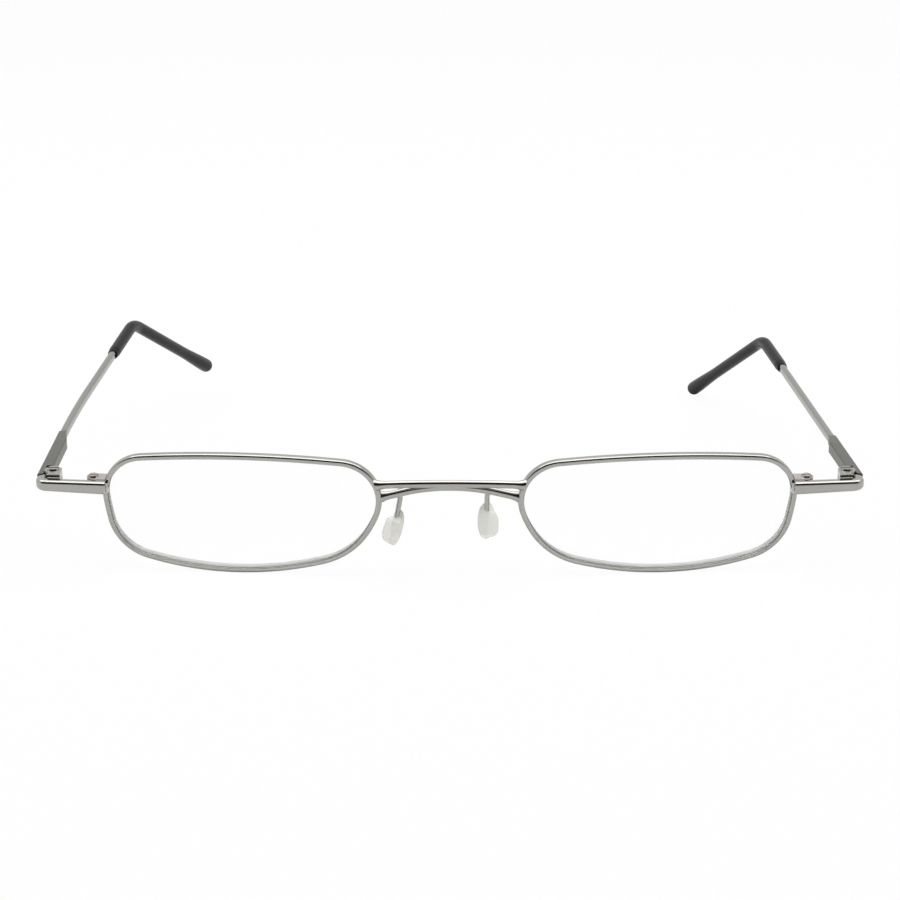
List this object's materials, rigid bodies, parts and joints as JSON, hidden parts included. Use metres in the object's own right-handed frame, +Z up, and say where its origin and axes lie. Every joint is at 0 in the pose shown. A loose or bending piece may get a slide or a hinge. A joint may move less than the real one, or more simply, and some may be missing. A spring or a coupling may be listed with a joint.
{
  "type": "reading glasses",
  "caption": "Slim metal reading glasses with a double-bar bridge, clear lenses and nose pads, sprung hinges that fold and soft black temple tips.",
  "frame": {"origin": "on the table, under the middle of the open glasses' overall box", "axes": "+Z up, -Y towards the front of the lenses, +Y back along the open temples, +X across to the wearer's left, which is the picture's right"},
  "size_m": [0.141, 0.1324, 0.025],
  "materials": {
    "frame_metal": "polished dark silver plating",
    "lens": "clear, uncoated",
    "nose_pad": "clear soft plastic",
    "temple_tip": "smooth, soft sheen",
    "screw_steel": "plain steel",
    "spring_steel": "plain steel"
  },
  "bodies": {
    "front": {"left_rim": "frame_metal", "right_rim": "frame_metal", "left_lens": "lens", "right_lens": "lens", "left_lock_upper": "frame_metal", "right_lock_upper": "frame_metal", "left_lock_lower": "frame_metal", "right_lock_lower": "frame_metal", "left_lock_screw": "screw_steel", "right_lock_screw": "screw_steel", "bridge_upper_bar": "frame_metal", "bridge_lower_bar": "frame_metal", "nose_pad_arms": "frame_metal", "left_nose_pad": "nose_pad", "right_nose_pad": "nose_pad", "left_end_piece": "frame_metal", "right_end_piece": "frame_metal", "left_hinge_fork": "frame_metal", "right_hinge_fork": "frame_metal", "left_hinge_screw": "screw_steel", "right_hinge_screw": "screw_steel"},
    "left_tongue": {"left_spring_tongue": "spring_steel", "left_rod_nut": "screw_steel", "left_hinge_spring": "spring_steel"},
    "right_tongue": {"right_spring_tongue": "spring_steel", "right_rod_nut": "screw_steel", "right_hinge_spring": "spring_steel"},
    "left_temple": {"left_spring_housing": "frame_metal", "left_temple_wire": "frame_metal", "left_temple_tip": "temple_tip"},
    "right_temple": {"right_spring_housing": "frame_metal", "right_temple_wire": "frame_metal", "right_temple_tip": "temple_tip"}
  },
  "joints": [
    {"name": "left_fold", "type": "hinge", "parent": "front", "child": "left_tongue", "pos_m": [-0.0678, -0.05638, 0.01527], "axis": [0, 0.075, -0.9972], "range_deg": [0, 80]},
    {"name": "left_flex", "type": "slide", "parent": "left_tongue", "child": "left_temple", "axis": [0.0323, 0.9938, 0.1062], "range_m": [0, 0.0015], "stiffness_N_per_m": 2000, "springref_m": -0.0015, "deforming": ["left_hinge_spring"]},
    {"name": "right_fold", "type": "hinge", "parent": "front", "child": "right_tongue", "pos_m": [0.0678, -0.05638, 0.01527], "axis": [0, -0.075, 0.9972], "range_deg": [0, 84]},
    {"name": "right_flex", "type": "slide", "parent": "right_tongue", "child": "right_temple", "axis": [-0.0741, 0.9952, 0.0643], "range_m": [0, 0.0015], "stiffness_N_per_m": 2000, "springref_m": -0.0015, "deforming": ["right_hinge_spring"]}
  ]
}
